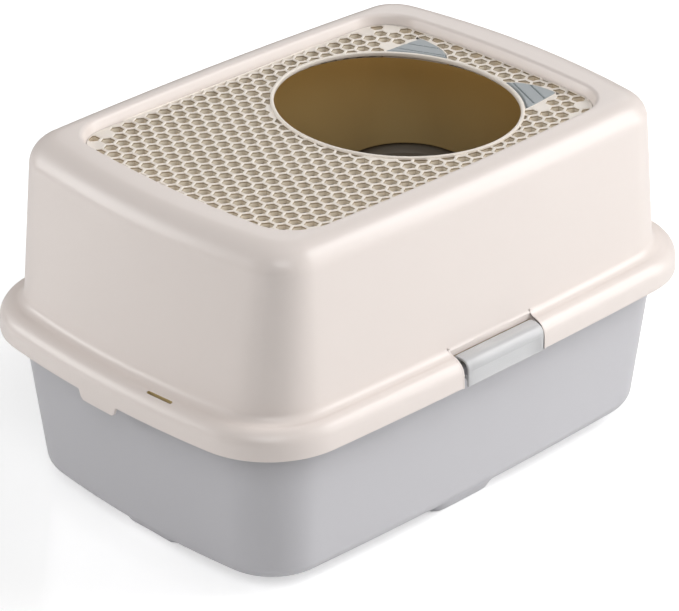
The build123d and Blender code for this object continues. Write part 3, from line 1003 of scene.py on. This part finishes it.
# ------------------------------------------------------------ stage
def build_floor():
    """Lit white table: matt, with a glow of its own that mostly the camera sees, weaker near the box's
    middle, which paints a soft shade round the box.
    """
    material, tree, shader = new_material("studio_floor")
    shader.inputs["Base Color"].default_value = (0.9, 0.9, 0.9, 1)
    shader.inputs["Roughness"].default_value = 0.12
    shader.inputs["IOR"].default_value = 1.8
    shader.inputs["Emission Color"].default_value = (1, 1, 1, 1)
    seen = tree.nodes.new("ShaderNodeLightPath")
    place = tree.nodes.new("ShaderNodeNewGeometry")
    far = tree.nodes.new("ShaderNodeVectorMath")
    far.operation = "LENGTH"
    tree.links.new(place.outputs["Position"], far.inputs[0])
    # glow grows with distance from the box's middle: painted shade on the floor round the box
    shade_near_box = tree.nodes.new("ShaderNodeMapRange")
    shade_near_box.inputs["From Min"].default_value = 0.45
    shade_near_box.inputs["From Max"].default_value = 1.4
    shade_near_box.inputs["To Min"].default_value = 0.46
    shade_near_box.inputs["To Max"].default_value = 1.0
    tree.links.new(far.outputs["Value"], shade_near_box.inputs["Value"])
    glow = tree.nodes.new("ShaderNodeMapRange")
    glow.inputs["To Min"].default_value = 0.05
    tree.links.new(shade_near_box.outputs["Result"], glow.inputs["To Max"])
    tree.links.new(seen.outputs["Is Camera Ray"], glow.inputs["Value"])
    tree.links.new(glow.outputs["Result"], shader.inputs["Emission Strength"])
    verts = [(-6000, -6000, 0), (6000, -6000, 0), (6000, 6000, 0), (-6000, 6000, 0)]
    floor = make_object("floor", verts, [(0, 1, 2, 3)], [material])


build_floor()


def area_light(name, place, aim, size, power, color=(1, 1, 1)):
    data = bpy.data.lights.new(name, "AREA")
    data.shape = "RECTANGLE"
    data.size, data.size_y = size
    data.energy = power
    data.color = color
    light = bpy.data.objects.new(name, data)
    light.location = place
    light.rotation_euler = (Vector(aim) - Vector(place)).to_track_quat("-Z", "Y").to_euler()
    bpy.context.scene.collection.objects.link(light)
    return light


def from_angle(azimuth, elevation, distance):
    """Point seen from the box's middle at an azimuth from +X and an elevation."""
    a, e = radians(azimuth), radians(elevation)
    return distance * cos(a) * cos(e), distance * sin(a) * cos(e), 0.15 + distance * sin(e)


for name, azimuth, elevation, distance, size, power in (
        ("right_high", 52, 38, 5.0, (2.2, 2.2), 120),
        ("right_low", 50, 12, 5.0, (2.6, 2.0), 85),
        ("right", 35, 22, 5.0, (2.2, 2.2), 15),
        ("left", -138, 18, 4.4, (2.4, 2.0), 73),
        ("left_end", -155, 22, 4.4, (2.4, 2.0), 18),
        ("top", 90, 85, 4.4, (2.6, 2.6), 14),
        ("front", -45, 45, 4.4, (2.0, 2.0), 62),
        ("back", 125, 30, 5.0, (3.0, 2.0), 24)):
    area_light(name, from_angle(azimuth, elevation, distance), (0, 0, 0.15), size, power)

# the room is dark to the box and white to the camera
world = bpy.data.worlds.new("studio")
bpy.context.scene.world = world
world.use_nodes = True
backdrop = world.node_tree.nodes["Background"]
backdrop.inputs["Color"].default_value = (1.0, 1.0, 1.0, 1)
path = world.node_tree.nodes.new("ShaderNodeLightPath")
shade = world.node_tree.nodes.new("ShaderNodeMapRange")
shade.inputs["To Min"].default_value = 0.03
shade.inputs["To Max"].default_value = 1.0
world.node_tree.links.new(path.outputs["Is Camera Ray"], shade.inputs["Value"])
world.node_tree.links.new(shade.outputs["Result"], backdrop.inputs["Strength"])

# camera on the photograph's viewing angle
AZIMUTH, ELEVATION, ROLL = radians(45.9), radians(27.91), radians(-0.283)
DISTANCE = 2.8175
TARGET = Vector((-0.0041, 0.0020, 0.1242))
back = Vector((sin(AZIMUTH) * cos(ELEVATION), -cos(AZIMUTH) * cos(ELEVATION), sin(ELEVATION)))
right = Vector((cos(AZIMUTH), sin(AZIMUTH), 0.0))
up = back.cross(right)
turned_right = right * cos(ROLL) + up * sin(ROLL)
turned_up = up * cos(ROLL) - right * sin(ROLL)
camera_data = bpy.data.cameras.new("camera")
camera_data.sensor_width = 36.0
camera_data.lens = 178.0
camera_data.shift_x = -0.0029
camera_data.shift_y = 0.0041
camera_data.clip_end = 50.0
camera = bpy.data.objects.new("camera", camera_data)
spin = Matrix((turned_right, turned_up, back)).transposed().to_4x4()
camera.matrix_world = Matrix.Translation(TARGET + back * DISTANCE) @ spin
bpy.context.scene.collection.objects.link(camera)
bpy.context.scene.camera = camera

scene = bpy.context.scene
scene.view_settings.view_transform = "Standard"
scene.view_settings.look = "None"
